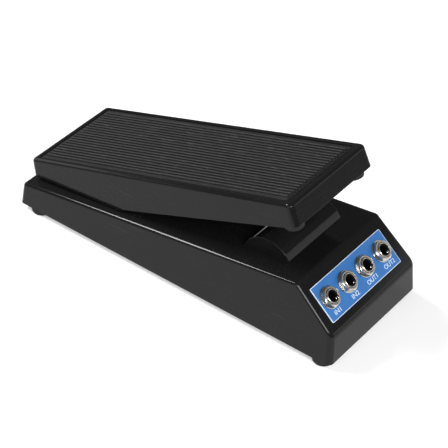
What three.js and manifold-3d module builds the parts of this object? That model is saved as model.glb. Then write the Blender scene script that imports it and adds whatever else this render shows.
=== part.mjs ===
// Stereo volume and expression pedal. A treadle rocks on a cross shaft, and its toothed
// sector turns a two-gang potentiometer inside the raised hump of the housing.
// Millimetres, +Z up, +X towards the toe end with the jacks; the feet stand on z = 0.
import * as THREE from "three";
import { ConvexGeometry } from "three/addons/geometries/ConvexGeometry.js";
import { mergeVertices } from "three/addons/utils/BufferGeometryUtils.js";
import Module from "manifold-3d";

// Housing: side outline as [x, z], then its half width at the bottom edge and the wall draft.
const HOUSING_OUTLINE = [[-127.2, 4], [-125.8, 20.6], [94.9, 52], [125.6, 25.5], [127.4, 4]];
const HOUSING_CAVITY = [[-128.4, -10], [-125.8, 20.6], [94.9, 52], [125.6, 25.5], [128.6, -10]];
const HOUSING_HALF_WIDTH = 49.5;
const DRAFT = 0.08;
const WALL = 3;
const HEEL_CORNER = 2.5;
const TOE_CORNER = 4;
const EDGE_FILLET = 2.2;
const HUMP = { x: 61.5, z: 39.4, radius: 19.2, halfWidth: 29.1 };
const ARM_SLOT = { x: [43.2, 56.6], y: [-3.2, 3.2], z: [36, 62] };

// Deck, jack panel and treadle each have a frame: X along the slope, Z square to the face.
const DECK_ANGLE = Math.atan2(31.2, 219.5);
const PANEL_ANGLE = Math.atan2(25.2, 29.2);
const TREADLE_ANGLE = THREE.MathUtils.degToRad(18.08);

// Treadle, in its own frame, as [along the top, height over the top]; heel end at 0.
const TREADLE_TOP = [[-1.2, 0], [218.3, 0]];
const TREADLE_BOTTOM = { toe: [220.2, -15.6], bend: [70.65, -26.9], heel: [-2.2, -12.8] };
const TREADLE_HALF_WIDTH = 39.7;
const TREADLE_SPREAD = 0.007;
const TREADLE_FLARE = 0.05;
const TREADLE_CORNER = { heel: 3, toe: 4, fillet: 2 };
const TREADLE_ROOF = 3.6;
const MAT_RECESS = { x: [3.5, 211.8], halfWidth: 36, depth: 1.6 };
const TOE_BUMPER = { x: 211.3, y: 32.8, radius: 6.2, tip: -21.7 };
const HEEL_BUMPER = { x: 10, y: 28.5, radius: 5.5, tip: -17.3 };
const RIB = { count: 21, pitch: 3.1, foot: 2.1, crest: 1.5, base: 0.7, height: 2 };

// Cross shaft and the toothed drive that it carries round.
const PIVOT = { x: -51.9, z: 43.4 };
const SHAFT_RADIUS = 3;
const SHAFT_HALF_LENGTH = 36.6;
const EAR = { inner: 21.6, outer: 24.1 };
const TOOTH_MODULE = 0.8;
const SECTOR_RADIUS = 105.6;
const PINION_TEETH = 16;
const PINION_RADIUS = (TOOTH_MODULE * PINION_TEETH) / 2;
const TOOTH_PITCH = Math.PI * TOOTH_MODULE;
const PINION_X = PIVOT.x + SECTOR_RADIUS + PINION_RADIUS;
const POT_RADIUS = 8.5;

// Jacks: the row sits a little to the near side of the middle, with the label round it.
const LABEL = { x: [8.2, 33.8], middle: -1.2, halfWidth: 38.5 };
const JACK_DOWN = 20;
const JACK_PITCH = 19.3;
const JACK_ROW_Y = -1.8;
const JACK_ACROSS = [-1.5, -0.5, 0.5, 1.5].map((step) => JACK_ROW_Y + step * JACK_PITCH);
const BUSHING_RADIUS = 4.75;
const JACK_BORE = 3.2;
const SLEEVE_TOP = 5.2;

const FOOT = { heel: -113.8, toe: 117.8, y: 42.3, radius: 7.2 };
const GAP = 0.1;
const ROUND = 18;

const wasm = await Module();
wasm.setup();
const WORLD = new THREE.Matrix4();
const object = new THREE.Group();
object.name = "volume_pedal";

const FINISHES = {
  gloss_black: [0x17171a, 0.18, 0],
  soft_black: [0x2b2b2e, 0.75, 0],
  rubber: [0x1d1d1f, 0.9, 0],
  nickel: [0xc9c4b8, 0.28, 1],
  steel: [0x9a9ca0, 0.4, 1],
  plated: [0xb7b9bd, 0.35, 1],
  nylon: [0xe9e6dc, 0.55, 0],
  label_blue: [0x3f82d6, 0.45, 0],
  board_green: [0x1f5a3a, 0.5, 0],
};

function solid(geometry) {
  const bare = geometry.clone();
  bare.deleteAttribute("normal");
  bare.deleteAttribute("uv");
  const merged = mergeVertices(bare, 1e-4);
  const vertProperties = merged.attributes.position.array;
  const triVerts = new Uint32Array(merged.index.array);
  return new wasm.Manifold(new wasm.Mesh({ numProp: 3, vertProperties, triVerts }));
}

function join(...solids) {
  return solids.reduce((all, one) => all.add(one));
}

function cut(body, ...solids) {
  return solids.reduce((all, one) => all.subtract(one), body);
}

function part(name, body, finish) {
  const made = body.getMesh();
  const geometry = new THREE.BufferGeometry();
  geometry.setAttribute("position", new THREE.BufferAttribute(made.vertProperties, 3));
  geometry.setIndex(new THREE.BufferAttribute(made.triVerts, 1));
  const flat = geometry.toNonIndexed();
  flat.computeVertexNormals();
  const [color, roughness, metalness] = FINISHES[finish];
  const material = new THREE.MeshStandardMaterial({ color, roughness, metalness });
  const mesh = new THREE.Mesh(flat, material);
  mesh.name = name;
  object.add(mesh);
}

// A frame at (x, z) whose X axis climbs by the angle; a negative angle falls.
function slope(x, z, angle) {
  const turn = new THREE.Matrix4().makeRotationY(-angle);
  return new THREE.Matrix4().makeTranslation(x, 0, z).multiply(turn);
}

function shift(frame, x, y, z) {
  return frame.clone().multiply(new THREE.Matrix4().makeTranslation(x, y, z));
}

// A frame whose Z axis runs along +Y, for whatever turns about a cross axis.
function cross(x, z) {
  const turn = new THREE.Matrix4().makeRotationX(-Math.PI / 2);
  return new THREE.Matrix4().makeTranslation(x, 0, z).multiply(turn);
}

const deck = slope(-124.6, 20.8, DECK_ANGLE);
const panel = slope(94.9, 52, -PANEL_ANGLE);
const treadle = slope(-124.6, 36.5, TREADLE_ANGLE);

function block(x, y, z, frame = WORLD) {
  const geometry = new THREE.BoxGeometry(x[1] - x[0], y[1] - y[0], z[1] - z[0]);
  geometry.translate((x[0] + x[1]) / 2, (y[0] + y[1]) / 2, (z[0] + z[1]) / 2);
  return solid(geometry.applyMatrix4(frame));
}

function drum(radius, z, frame = WORLD, sides = ROUND) {
  const geometry = new THREE.CylinderGeometry(radius, radius, z[1] - z[0], sides);
  geometry.rotateX(Math.PI / 2);
  geometry.translate(0, 0, (z[0] + z[1]) / 2);
  return solid(geometry.applyMatrix4(frame));
}

function ring(inner, outer, z, frame, sides = ROUND) {
  return cut(drum(outer, z, frame, sides), drum(inner, [z[0] - 1, z[1] + 1], frame));
}

// A solid of revolution round local Z, from [radius, z] points that start and end on the axis.
function turned(profile, frame) {
  const points = profile.map(([r, z]) => new THREE.Vector2(r, z));
  const geometry = new THREE.LatheGeometry(points, ROUND).rotateX(Math.PI / 2);
  return solid(geometry.applyMatrix4(frame));
}

// A plate with an [x, z] outline, from y[0] to y[1].
function plate(outline, y, frame = WORLD) {
  const shape = new THREE.Shape(outline.map(([px, pz]) => new THREE.Vector2(px, pz)));
  const settings = { depth: y[1] - y[0], bevelEnabled: false };
  const geometry = new THREE.ExtrudeGeometry(shape, settings);
  geometry.rotateX(Math.PI / 2);
  geometry.translate(0, y[1], 0);
  return solid(geometry.applyMatrix4(frame));
}

function polar(radius, angle) {
  return [radius * Math.cos(angle), radius * Math.sin(angle)];
}

// Corner points of a moulded shell: plan radius r, top fillet f, on a face of the given rise.
function cornerPoints(x, y, z, r, f, rise, inward) {
  const points = [];
  const rings = f > 0 ? 3 : 0;
  for (let i = 0; i <= 4; i++) {
    for (let j = 0; j <= rings; j++) {
      const around = (i / 4) * (Math.PI / 2);
      const over = rings ? (j / rings) * (Math.PI / 2) : 0;
      const reach = r - f + f * Math.cos(over);
      const px = x + inward * (r - reach * Math.cos(around));
      const py = y - r + reach * Math.sin(around);
      const pz = z - f + f * Math.sin(over) + rise * (px - x);
      points.push(new THREE.Vector3(px, py, pz), new THREE.Vector3(px, -py, pz));
    }
  }
  return points;
}

function hull(points, frame = WORLD) {
  return solid(new ConvexGeometry(points).applyMatrix4(frame));
}

// The outline with every edge moved inwards by t.
function inset(outline, t) {
  const edges = outline.map(([x, z], i) => {
    const [nx, nz] = outline[(i + 1) % outline.length];
    const length = Math.hypot(nx - x, nz - z);
    const side = [(nz - z) / length, -(nx - x) / length];
    return { x: x + side[0] * t, z: z + side[1] * t, dx: nx - x, dz: nz - z };
  });
  return edges.map((b, i) => {
    const a = edges[(i + edges.length - 1) % edges.length];
    const k = ((b.x - a.x) * b.dz - (b.z - a.z) * b.dx) / (a.dx * b.dz - a.dz * b.dx);
    return [a.x + a.dx * k, a.z + a.dz * k];
  });
}

function housingHalfWidth(z) {
  return HOUSING_HALF_WIDTH - DRAFT * (z - 4);
}

function mirroredPrism(outline, halfWidthAt, frame = WORLD) {
  const points = [];
  for (const [x, z] of outline)
    for (const side of [-1, 1]) points.push(new THREE.Vector3(x, side * halfWidthAt(x, z), z));
  return hull(points, frame);
}

// A socket screw: seat at local z = 0, head above, shank of the given length below.
function screw(name, frame, length, headRadius = 2.6) {
  const head = drum(headRadius, [0, 1.7], frame, 12);
  const shank = drum(1.4, [-length, 0.1], frame, 8);
  const recess = drum(1.3, [0.8, 2], frame, 6);
  part(name, cut(join(head, shank), recess), "steel");
}

const footPlaces = [
  ["heel_near", FOOT.heel, -FOOT.y],
  ["heel_far", FOOT.heel, FOOT.y],
  ["toe_near", FOOT.toe, -FOOT.y],
  ["toe_far", FOOT.toe, FOOT.y],
];
const HINGE_U = 75.16;
const HUMP_U = 187.97;

function housing() {
  const [heelFoot, heelTop, ridge, lip, toeFoot] = HOUSING_OUTLINE;
  const deckRise = Math.tan(DECK_ANGLE);
  const outer = hull([
    ...cornerPoints(...at(heelFoot), HEEL_CORNER, 0, 0, 1),
    ...cornerPoints(...at(heelTop), HEEL_CORNER, EDGE_FILLET, deckRise, 1),
    ...cornerPoints(...at(ridge), EDGE_FILLET, EDGE_FILLET, deckRise, -1),
    ...cornerPoints(...at(lip), TOE_CORNER, EDGE_FILLET, -Math.tan(PANEL_ANGLE), -1),
    ...cornerPoints(...at(toeFoot), TOE_CORNER, 0, 0, -1),
  ]);
  const halfWidthAt = (x, z) => housingHalfWidth(z) - WALL;
  const cavity = mirroredPrism(inset(HOUSING_CAVITY, WALL), halfWidthAt);
  const humpFrame = cross(HUMP.x, HUMP.z);
  const half = HUMP.halfWidth;
  const hump = drum(HUMP.radius, [-half, half], humpFrame, 48);
  const humpOver = cut(hump, block([0, 300], [-60, 60], [-60, -1], deck));
  const humpHollow = drum(HUMP.radius - WALL, [WALL - half, half - WALL], humpFrame, 32);
  const slot = block(ARM_SLOT.x, ARM_SLOT.y, ARM_SLOT.z);
  const shell = cut(join(outer, humpOver), cavity, humpHollow);
  const { posts, holes } = housingPosts();
  const body = cut(join(shell, posts.intersect(outer)), slot, ...holes);
  part("base_housing", body, "gloss_black");
}

function at([x, z]) {
  return [x, housingHalfWidth(z), z];
}

// Screw posts under the deck, and every hole that screws and jacks need.
function housingPosts() {
  const posts = [];
  const holes = [];
  const floorPosts = [...footPlaces.map(([, x, y]) => [x, y]), [0, -39], [0, 39]];
  for (const [x, y] of floorPosts) {
    posts.push(drum(4, [6.3, 50], shift(WORLD, x, y, 0), 12));
    holes.push(drum(1.6, [5, 15], shift(WORLD, x, y, 0), 12));
  }
  for (const y of [-12, 12]) {
    posts.push(drum(4.5, [-13, -2], shift(deck, HINGE_U, y, 0), 12));
    holes.push(drum(1.6, [-11, 1], shift(deck, HINGE_U, y, 0), 12));
  }
  for (const side of [-24, 24]) {
    posts.push(drum(4, [-9, -2], shift(deck, HUMP_U + side, 14, 0), 12));
    holes.push(drum(1.6, [-10, -3.2], shift(deck, HUMP_U + side, 14, 0), 12));
  }
  for (const y of JACK_ACROSS)
    holes.push(drum(4.95, [-6, 1], shift(panel, JACK_DOWN, y, 0)));
  return { posts: join(...posts), holes };
}

function bottomCover() {
  const sheet = block([-123.6, 123.6], [-46.1, 46.1], [4.1, 6.1]);
  const places = [...footPlaces.map(([, x, y]) => [x, y]), [0, -39], [0, 39]];
  const holes = places.map(([x, y]) => drum(1.7, [3, 7], shift(WORLD, x, y, 0), 12));
  part("bottom_cover", cut(sheet, ...holes), "steel");
  const down = new THREE.Matrix4().makeRotationX(Math.PI);
  for (const [name, y] of [["near", -39], ["far", 39]])
    screw("cover_screw_" + name, shift(WORLD, 0, y, 4).multiply(down), 9);
}

function feet() {
  const down = new THREE.Matrix4().makeRotationX(Math.PI);
  const rim = FOOT.radius;
  const profile = [[0, 0], [rim - 0.8, 0], [rim, 0.9], [rim, 3.9], [0, 3.9]];
  for (const [name, x, y] of footPlaces) {
    const frame = shift(WORLD, x, y, 0);
    const recess = drum(3.6, [-1, 2.3], frame);
    const pad = cut(turned(profile, frame), recess, drum(1.7, [1, 5], frame, 12));
    part("foot_" + name, pad, "rubber");
    screw("foot_screw_" + name, shift(WORLD, x, y, 2.2).multiply(down), 11, 2.9);
  }
}

function jacks() {
  JACK_ACROSS.forEach((y, i) => {
    const name = "jack_" + (i + 1);
    const frame = shift(panel, JACK_DOWN, y, 0);
    const barrel = block([-6.5, 6.5], [-5.2, 5.2], [-25.4, -3.1], frame);
    const pocket = drum(BUSHING_RADIUS + GAP, [-7.2, -3], frame);
    const bore = drum(JACK_BORE, [-22, -6], frame, 20);
    part(name + "_body", cut(barrel, pocket, bore), "soft_black");
    part(name + "_sleeve", ring(JACK_BORE, BUSHING_RADIUS, [-7, SLEEVE_TOP], frame), "nickel");
    part(name + "_washer", ring(BUSHING_RADIUS + 0.2, 7.5, [0.8, 1.8], frame), "nickel");
    part(name + "_nut", ring(BUSHING_RADIUS + GAP, 7.3, [1.9, 4.4], frame, 6), "nickel");
  });
  const across = [JACK_ROW_Y - 37, JACK_ROW_Y + 37];
  part("jack_board", block([8, 32.2], across, [-27.2, -25.6], panel), "board_green");
}

function labelPlate() {
  const across = [LABEL.middle - LABEL.halfWidth, LABEL.middle + LABEL.halfWidth];
  const sheet = block(LABEL.x, across, [GAP, 0.7], panel);
  const holes = JACK_ACROSS.map((y) => drum(5.1, [-1, 2], shift(panel, JACK_DOWN, y, 0)));
  part("label_plate", cut(sheet, ...holes), "label_blue");
}

// The treadle widens a little towards its toe end and towards the foot of its skirts.
function treadleHalfWidth(along, height) {
  return TREADLE_HALF_WIDTH + TREADLE_SPREAD * along - TREADLE_FLARE * height;
}

function treadleShell() {
  const [heel, toe] = TREADLE_TOP;
  const low = TREADLE_BOTTOM;
  const corner = ([x, z], r, f, rise, inward) =>
    cornerPoints(x, treadleHalfWidth(x, z), z, r, f, rise, inward);
  const heelRise = (low.bend[1] - low.heel[1]) / (low.bend[0] - low.heel[0]);
  const toeRise = (low.toe[1] - low.bend[1]) / (low.toe[0] - low.bend[0]);
  const bendHalf = treadleHalfWidth(...low.bend);
  const round = TREADLE_CORNER;
  const outer = hull([
    ...corner(heel, round.heel, round.fillet, 0, 1),
    ...corner(toe, round.toe, round.fillet, 0, -1),
    ...corner(low.toe, round.toe, 0, toeRise, -1),
    ...corner(low.heel, round.heel, 0, heelRise, 1),
    new THREE.Vector3(low.bend[0], bendHalf, low.bend[1]),
    new THREE.Vector3(low.bend[0], -bendHalf, low.bend[1]),
  ], treadle);
  const hollow = [[1.8, -TREADLE_ROOF], [215.3, -TREADLE_ROOF], [220.4, -45], [-1.3, -45]];
  const cavity = mirroredPrism(hollow, (x, z) => treadleHalfWidth(x, z) - WALL, treadle);
  const half = MAT_RECESS.halfWidth;
  const recess = block(MAT_RECESS.x, [-half, half], [-MAT_RECESS.depth, 1], treadle);
  const ridge = block([212.8, 213.7], [-half, half], [-0.5, 0.45], treadle);
  const inside = treadleFittings();
  const shell = join(cut(outer, cavity, recess), inside.added, ridge);
  part("treadle_shell", cut(shell, ...inside.holes), "gloss_black");
}

// Shaft saddles, stiffening ribs and screw posts under the treadle roof, and bumper seats.
function treadleFittings() {
  const pivot = inTreadle(PIVOT.x, PIVOT.z);
  const added = [];
  const holes = [];
  for (const side of [-1, 1]) {
    const y = [29.4, 37.9].map((v) => side * v).sort((a, b) => a - b);
    added.push(block([pivot.x - 11.5, pivot.x + 11.5], y, [pivot.z, -3], treadle));
    added.push(block([18, 203], [side * 19 - 1, side * 19 + 1], [-7, -3], treadle));
    added.push(drum(3.4, [-7.4, -3], shift(treadle, 167, side * 6, 0)));
    holes.push(drum(1.6, [-8, -3], shift(treadle, 167, side * 6, 0), 12));
    const seat = shift(treadle, TOE_BUMPER.x, side * TOE_BUMPER.y, 0);
    holes.push(drum(TOE_BUMPER.radius + GAP, [TOE_BUMPER.tip, -TREADLE_ROOF], seat));
    for (const along of [-8, 8]) {
      const frame = shift(treadle, pivot.x + along, side * 33.6, pivot.z);
      holes.push(drum(1.6, [-1, 9], frame, 12));
    }
  }
  const shaftRoom = SHAFT_RADIUS + GAP;
  const half = SHAFT_HALF_LENGTH + GAP;
  holes.push(drum(shaftRoom, [-half, half], cross(PIVOT.x, PIVOT.z)));
  return { added: join(...added), holes };
}

function inTreadle(x, z) {
  const point = new THREE.Vector3(x, 0, z);
  return point.applyMatrix4(treadle.clone().invert());
}

function treadMat() {
  const half = MAT_RECESS.halfWidth - GAP;
  const floor = GAP - MAT_RECESS.depth;
  const outline = [[-half, floor], [half, floor], [half, floor + RIB.base]];
  for (let i = 0; i < RIB.count; i++) {
    const y = RIB.pitch * ((RIB.count - 1) / 2 - i);
    outline.push([y + RIB.foot / 2, floor + RIB.base], [y + RIB.crest / 2, floor + RIB.height]);
    outline.push([y - RIB.crest / 2, floor + RIB.height], [y - RIB.foot / 2, floor + RIB.base]);
  }
  outline.push([-half, floor + RIB.base]);
  const [x0, x1] = MAT_RECESS.x;
  const turn = new THREE.Matrix4().makeRotationZ(Math.PI / 2);
  const along = treadle.clone().multiply(turn);
  part("tread_mat", plate(outline, [-(x1 - GAP), -(x0 + GAP)], along), "soft_black");
}

function bumpers() {
  for (const [name, side] of [["near", -1], ["far", 1]]) {
    for (const [end, { x, y, radius, tip }] of [["toe", TOE_BUMPER], ["heel", HEEL_BUMPER]]) {
      const frame = shift(treadle, x, side * y, 0);
      part(end + "_bumper_" + name, turned(domed(radius, tip), frame), "rubber");
    }
  }
}

function domed(radius, tip) {
  const top = -TREADLE_ROOF - GAP;
  const profile = [[0, tip], [radius * 0.45, tip + 0.25], [radius * 0.8, tip + 0.8]];
  return [...profile, [radius, tip + 1.7], [radius, top], [0, top]];
}

function hinge() {
  const frame = shift(deck, HINGE_U, 0, 0);
  const pivot = cross(PIVOT.x, PIVOT.z);
  const foot = block([-13, 13], [-EAR.outer, EAR.outer], [GAP, 2.6], frame);
  const ear = [[-13, GAP], [13, GAP], [6.4, 14], [4, 18], [-4, 18], [-6.4, 14]];
  const earAt = [[-EAR.outer, -EAR.inner], [EAR.inner, EAR.outer]];
  const ears = earAt.map((y) => plate(ear, y, frame));
  const screwHoles = [-12, 12].map((y) => drum(1.7, [-1, 4], shift(frame, 0, y, 0), 12));
  const shaftHole = drum(4.1, [-30, 30], pivot);
  part("hinge_bracket", cut(join(foot, ...ears), shaftHole, ...screwHoles), "steel");
  const shaft = drum(SHAFT_RADIUS, [-SHAFT_HALF_LENGTH, SHAFT_HALF_LENGTH], pivot);
  const grooves = [[25.8, 26.8], [-26.8, -25.8]].map((y) => ring(2.5, 4, y, pivot));
  part("pivot_shaft", cut(shaft, ...grooves), "plated");
  for (const [name, side] of [["near", -1], ["far", 1]]) {
    screw("hinge_screw_" + name, shift(frame, 0, side * 12, 2.7), 12, 2.8);
    hingeSide(name, side);
  }
}

// One side's bush in the ear, clip on the shaft, and strap that holds the shaft in its saddle.
function hingeSide(name, side) {
  const pivot = cross(PIVOT.x, PIVOT.z);
  const span = (a, b) => [side * a, side * b].sort((low, high) => low - high);
  const sleeve = ring(SHAFT_RADIUS + GAP, 4, span(21.6, 25), pivot);
  const flange = ring(SHAFT_RADIUS + GAP, 5.6, span(24.2, 25.4), pivot);
  part("hinge_bush_" + name, join(sleeve, flange), "nylon");
  const mouth = block([-1.9, 1.9], [-60, 60], [-9, 0], slope(PIVOT.x, PIVOT.z, TREADLE_ANGLE));
  part("shaft_clip_" + name, cut(ring(2.6, 5, span(25.9, 26.7), pivot), mouth), "plated");
  const centre = inTreadle(PIVOT.x, PIVOT.z);
  const frame = shift(treadle, centre.x, 0, centre.z);
  const flat = block([-11.5, 11.5], span(30.1, 37.1), [-1.7, -0.2], frame);
  const arch = cut(drum(4.7, span(30.1, 37.1), pivot), block([-9, 9], [-60, 60], [-0.2, 9], frame));
  const room = drum(SHAFT_RADIUS + GAP, [-60, 60], pivot);
  const holes = [-8, 8].map((x) => drum(1.7, [-3, 1], shift(frame, x, side * 33.6, 0), 12));
  part("shaft_strap_" + name, cut(join(flat, arch), room, ...holes), "steel");
  for (const [end, x] of [["heel", -8], ["toe", 8]]) {
    const down = new THREE.Matrix4().makeRotationX(Math.PI);
    const seat = shift(frame, x, side * 33.6, -1.8).multiply(down);
    screw("strap_screw_" + name + "_" + end, seat, 8, 2.5);
  }
}

// Toothed sector on its arm: the arc is centred on the shaft, the foot bolts under the roof.
function sectorArm() {
  const outline = [];
  const [rootWidth, tipWidth] = [1.72, 0.4];
  const rootRadius = SECTOR_RADIUS - 1.15 * TOOTH_MODULE;
  const tipRadius = SECTOR_RADIUS + 0.85 * TOOTH_MODULE;
  for (let tooth = -2; tooth <= 12; tooth++) {
    const middle = (tooth * TOOTH_PITCH) / SECTOR_RADIUS;
    const root = rootWidth / 2 / SECTOR_RADIUS;
    const tip = tipWidth / 2 / SECTOR_RADIUS;
    outline.push(polar(rootRadius, middle - root), polar(tipRadius, middle - tip));
    outline.push(polar(tipRadius, middle + tip), polar(rootRadius, middle + root));
  }
  const level = slope(PIVOT.x, PIVOT.z, 0);
  const toLevel = level.clone().invert().multiply(treadle);
  const corners = [[175.6, -16.6], [173.6, -7.6], [160.4, -7.6], [167.2, -16.6]];
  for (const [x, z] of corners) {
    const point = new THREE.Vector3(x, 0, z).applyMatrix4(toLevel);
    outline.push([point.x, point.z]);
  }
  for (let step = 6; step >= 0; step--)
    outline.push(polar(96.5, THREE.MathUtils.degToRad(-3.1 + (step * 19) / 6)));
  const arm = plate(outline, [-1.5, 1.5], level);
  const foot = block([160.2, 173.8], [-9.6, 9.6], [-9.5, -7.5], treadle);
  const holes = [-6, 6].map((y) => drum(1.7, [-10, -7], shift(treadle, 167, y, 0), 12));
  part("sector_arm", cut(join(arm, foot), ...holes), "steel");
  for (const [name, y] of [["near", -6], ["far", 6]]) {
    const down = new THREE.Matrix4().makeRotationX(Math.PI);
    screw("sector_screw_" + name, shift(treadle, 167, y, -9.6).multiply(down), 6.4, 2.5);
  }
}

function pinion() {
  const outline = [];
  const [rootWidth, tipWidth] = [1.7, 0.42];
  const rootRadius = PINION_RADIUS - 1.15 * TOOTH_MODULE;
  const tipRadius = PINION_RADIUS + 0.85 * TOOTH_MODULE;
  for (let tooth = 0; tooth < PINION_TEETH; tooth++) {
    const middle = ((tooth + 0.5) * 2 * Math.PI) / PINION_TEETH;
    const root = rootWidth / 2 / PINION_RADIUS;
    const tip = tipWidth / 2 / PINION_RADIUS;
    outline.push(polar(rootRadius, middle - root), polar(tipRadius, middle - tip));
    outline.push(polar(tipRadius, middle + tip), polar(rootRadius, middle + root));
  }
  const wheel = plate(outline, [-2.6, 2.6], slope(PINION_X, PIVOT.z, 0));
  const axle = cross(PINION_X, PIVOT.z);
  part("pinion", cut(wheel, drum(SHAFT_RADIUS + 0.05, [-5, 5], axle)), "nylon");
  const flatSide = block([2.4, 4], [-3.9, -2.7], [-4, 4], slope(PINION_X, PIVOT.z, 0));
  part("pot_shaft", cut(drum(SHAFT_RADIUS, [-3.8, 8.1], axle), flatSide), "plated");
}

function potentiometer() {
  const axle = cross(PINION_X, PIVOT.z);
  const gangs = join(
    drum(POT_RADIUS, [8.4, 15.4], axle),
    drum(POT_RADIUS - 0.7, [15, 17], axle),
    drum(POT_RADIUS, [16.4, 23.4], axle),
    block([-7, 7], [8.4, 10], [-13, 0], slope(PINION_X, PIVOT.z, 0)),
    drum(3.5, [4.2, 9], axle),
  );
  part("pot_body", cut(gangs, drum(SHAFT_RADIUS + GAP, [3, 8.2], axle)), "plated");
  part("pot_nut", ring(3.6, 5.6, [4.5, 5.9], axle, 6), "nickel");
  const frame = shift(deck, HUMP_U, 0, 0);
  const web = [
    [-30, -11.3], [30, -11.3], [30, -9.3], [14, -9.3], [12, -4], [8, 3], [-11, 3], [-14, -4],
    [-16, -9.3], [-30, -9.3],
  ];
  const tabs = [[-30, -18], [18, 30]].map((x) => block(x, [6.5, 20], [-11.3, -9.3], frame));
  const holes = [-24, 24].map((x) => drum(1.7, [-12, -9], shift(frame, x, 14, 0), 12));
  const bracket = join(plate(web, [6, 8], frame), ...tabs);
  part("pot_bracket", cut(bracket, drum(3.7, [5, 9], axle), ...holes), "steel");
  for (const [name, x] of [["heel", -24], ["toe", 24]]) {
    const down = new THREE.Matrix4().makeRotationX(Math.PI);
    screw("pot_screw_" + name, shift(frame, x, 14, -11.4).multiply(down), 7.6, 2.6);
  }
}

housing();
bottomCover();
feet();
jacks();
labelPlate();
hinge();
potentiometer();
treadleShell();
treadMat();
bumpers();
sectorArm();
pinion();

export default object;
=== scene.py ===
import math

import bmesh
import bpy
from mathutils import Matrix, Vector


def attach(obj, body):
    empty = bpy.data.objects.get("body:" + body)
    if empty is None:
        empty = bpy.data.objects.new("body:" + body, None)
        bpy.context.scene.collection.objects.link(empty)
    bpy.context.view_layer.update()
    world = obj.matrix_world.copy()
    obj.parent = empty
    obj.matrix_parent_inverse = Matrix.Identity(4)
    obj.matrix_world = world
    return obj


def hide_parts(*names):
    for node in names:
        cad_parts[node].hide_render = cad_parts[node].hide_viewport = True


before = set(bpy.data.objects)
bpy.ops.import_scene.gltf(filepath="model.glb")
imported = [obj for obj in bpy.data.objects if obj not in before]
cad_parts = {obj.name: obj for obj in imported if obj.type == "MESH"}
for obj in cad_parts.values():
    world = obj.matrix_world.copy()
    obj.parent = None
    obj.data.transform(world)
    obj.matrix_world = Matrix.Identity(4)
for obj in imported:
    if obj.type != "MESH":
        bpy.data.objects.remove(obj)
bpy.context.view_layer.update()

# Camera: a long lens looks down on the toe end and the near side of the pedal.
# It is held a little out of level, as in a hand-turned product shot.
LOOK_AT = Vector((0.0090, -0.0027, 0.0273))
LOOK_AZIMUTH = math.radians(34.676)
LOOK_ELEVATION = math.radians(39.106)
LOOK_ROLL = math.radians(3.4415)
LOOK_DISTANCE = 1.2506

look_back = Vector((
    math.sin(LOOK_AZIMUTH) * math.cos(LOOK_ELEVATION),
    -math.cos(LOOK_AZIMUTH) * math.cos(LOOK_ELEVATION),
    math.sin(LOOK_ELEVATION),
))
look_right = Vector((math.cos(LOOK_AZIMUTH), math.sin(LOOK_AZIMUTH), 0))
turned_right = Matrix.Rotation(LOOK_ROLL, 3, look_back) @ look_right
turned_up = look_back.cross(turned_right)
camera_data = bpy.data.cameras.new("camera")
camera_data.lens = 153.52
camera_data.sensor_width = 36
camera_data.clip_start = 0.05
camera = bpy.data.objects.new("camera", camera_data)
camera.matrix_world = Matrix.Translation(LOOK_AT + look_back * LOOK_DISTANCE) @ Matrix(
    (turned_right, turned_up, look_back)).transposed().to_4x4()
bpy.context.scene.collection.objects.link(camera)
bpy.context.scene.camera = camera


# Studio: a wide pale floor under a dim surround. Round the pedal the floor glows, a painted pool of
# light that washes out its shadows, and farther out it is painted greyer as painted shade.
# Soft boxes over the heel and toe ends draw the black edges as pale lines, a weak box fills the
# near side, and two large dim cards stand near the horizon.
def clear_selection():
    if bpy.context.object and bpy.context.object.mode != "OBJECT":
        bpy.ops.object.mode_set(mode="OBJECT")
    bpy.ops.object.select_all(action="DESELECT")


class Value:
    """A shader socket that Python's arithmetic signs work on."""

    def __init__(self, shader, socket):
        self.shader = shader
        self.socket = socket

    def maths(self, operation, first, second):
        return self.shader.node("Math", {"operation": operation}, {0: first, 1: second})

    def __add__(self, other):
        return self.maths("ADD", self, other)

    def __sub__(self, other):
        return self.maths("SUBTRACT", self, other)

    def __mul__(self, other):
        return self.maths("MULTIPLY", self, other)

    __radd__ = __add__
    __rmul__ = __mul__


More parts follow.
